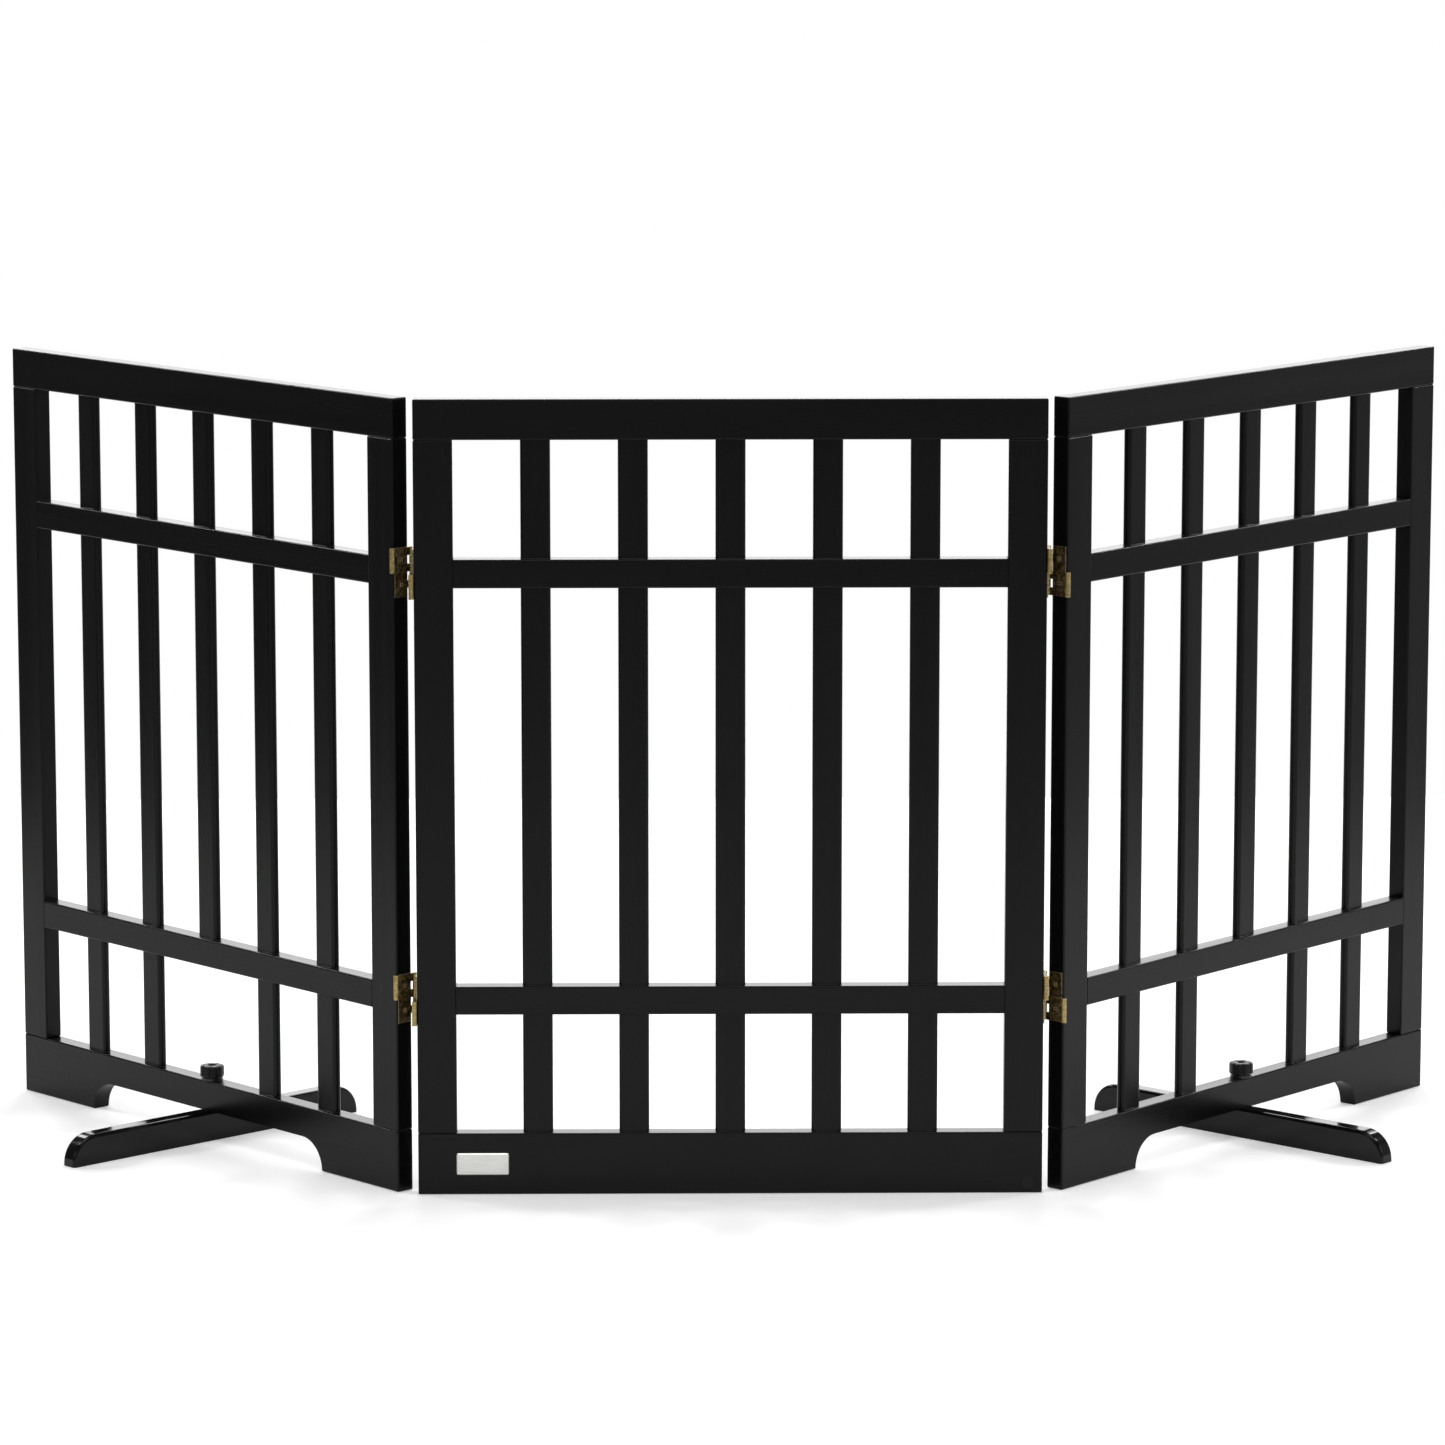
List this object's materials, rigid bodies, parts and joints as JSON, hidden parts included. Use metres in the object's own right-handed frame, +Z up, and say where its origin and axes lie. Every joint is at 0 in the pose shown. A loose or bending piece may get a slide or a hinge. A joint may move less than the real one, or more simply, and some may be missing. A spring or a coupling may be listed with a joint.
{
  "type": "folding pet gate",
  "caption": "Free-standing three-panel folding pet gate with vertical slats, double-acting hinges and swivelling support feet.",
  "frame": {"origin": "on the floor under the middle of the centre panel, halfway through its thickness", "axes": "+X along the centre panel to the right seen from the front, +Y to the back, towards which the side panels are folded, +Z up"},
  "size_m": [1.153, 0.3772, 0.615],
  "materials": {
    "lacquered_wood": "black satin lacquer",
    "beech_dowel": "bare",
    "filler": "black satin lacquer",
    "hinge_brass": "antique brass plate",
    "screw_brass": "polished brass plate",
    "zinc_steel": "black zinc",
    "knob_plastic": "moulded",
    "badge_metal": "satin"
  },
  "bodies": {
    "centre_panel": {"centre_top_rail": "lacquered_wood", "centre_bottom_rail": "lacquered_wood", "centre_left_stile": "lacquered_wood", "centre_right_stile": "lacquered_wood", "centre_upper_mid_rail": "lacquered_wood", "centre_lower_mid_rail": "lacquered_wood", "centre_slat_1": "lacquered_wood", "centre_slat_2": "lacquered_wood", "centre_slat_3": "lacquered_wood", "centre_slat_4": "lacquered_wood", "centre_slat_5": "lacquered_wood", "centre_dowels": "beech_dowel", "badge_plate": "badge_metal", "rail_plug": "filler", "left_hinge_centre_leaves": "hinge_brass", "right_hinge_centre_leaves": "hinge_brass", "centre_hinge_pins": "hinge_brass", "centre_hinge_screws": "screw_brass"},
    "left_links": {"left_hinge_carrier_links": "hinge_brass"},
    "left_panel": {"left_top_rail": "lacquered_wood", "left_bottom_rail": "lacquered_wood", "left_left_stile": "lacquered_wood", "left_right_stile": "lacquered_wood", "left_upper_mid_rail": "lacquered_wood", "left_lower_mid_rail": "lacquered_wood", "left_slat_1": "lacquered_wood", "left_slat_2": "lacquered_wood", "left_slat_3": "lacquered_wood", "left_slat_4": "lacquered_wood", "left_slat_5": "lacquered_wood", "left_dowels": "beech_dowel", "left_foot_washer": "zinc_steel", "left_hinge_side_leaves": "hinge_brass", "left_hinge_side_links": "hinge_brass", "left_hinge_pins": "hinge_brass", "left_hinge_screws": "screw_brass"},
    "left_foot": {"left_foot": "lacquered_wood", "left_foot_bolt": "zinc_steel"},
    "left_knob": {"left_foot_knob": "knob_plastic"},
    "right_links": {"right_hinge_carrier_links": "hinge_brass"},
    "right_panel": {"right_top_rail": "lacquered_wood", "right_bottom_rail": "lacquered_wood", "right_left_stile": "lacquered_wood", "right_right_stile": "lacquered_wood", "right_upper_mid_rail": "lacquered_wood", "right_lower_mid_rail": "lacquered_wood", "right_slat_1": "lacquered_wood", "right_slat_2": "lacquered_wood", "right_slat_3": "lacquered_wood", "right_slat_4": "lacquered_wood", "right_slat_5": "lacquered_wood", "right_dowels": "beech_dowel", "right_foot_washer": "zinc_steel", "right_hinge_side_leaves": "hinge_brass", "right_hinge_side_links": "hinge_brass", "right_hinge_pins": "hinge_brass", "right_hinge_screws": "screw_brass"},
    "right_foot": {"right_foot": "lacquered_wood", "right_foot_bolt": "zinc_steel"},
    "right_knob": {"right_foot_knob": "knob_plastic"}
  },
  "joints": [
    {"name": "left_forward_fold", "type": "hinge", "parent": "centre_panel", "child": "left_links", "pos_m": [-0.2419, -0.0095, 0.3], "axis": [0, 0, 1], "range_deg": [0, 115]},
    {"name": "left_back_fold", "type": "hinge", "parent": "left_links", "child": "left_panel", "pos_m": [-0.2419, 0.0095, 0.3], "axis": [0, 0, -1], "range_deg": [-48, 67]},
    {"name": "left_foot_swivel", "type": "hinge", "parent": "left_panel", "child": "left_foot", "pos_m": [-0.41082, 0.18291, 0.03], "axis": [0, 0, 1], "range_deg": [-90, 90]},
    {"name": "left_knob_spin", "type": "hinge", "parent": "left_panel", "child": "left_knob", "pos_m": [-0.41082, 0.18291, 0.03], "axis": [0, 0, 1], "continuous": true},
    {"name": "right_forward_fold", "type": "hinge", "parent": "centre_panel", "child": "right_links", "pos_m": [0.2419, -0.0095, 0.3], "axis": [0, 0, -1], "range_deg": [0, 115]},
    {"name": "right_back_fold", "type": "hinge", "parent": "right_links", "child": "right_panel", "pos_m": [0.2419, 0.0095, 0.3], "axis": [0, 0, 1], "range_deg": [-48, 67]},
    {"name": "right_foot_swivel", "type": "hinge", "parent": "right_panel", "child": "right_foot", "pos_m": [0.41082, 0.18291, 0.03], "axis": [0, 0, 1], "range_deg": [-90, 90]},
    {"name": "right_knob_spin", "type": "hinge", "parent": "right_panel", "child": "right_knob", "pos_m": [0.41082, 0.18291, 0.03], "axis": [0, 0, 1], "continuous": true}
  ]
}
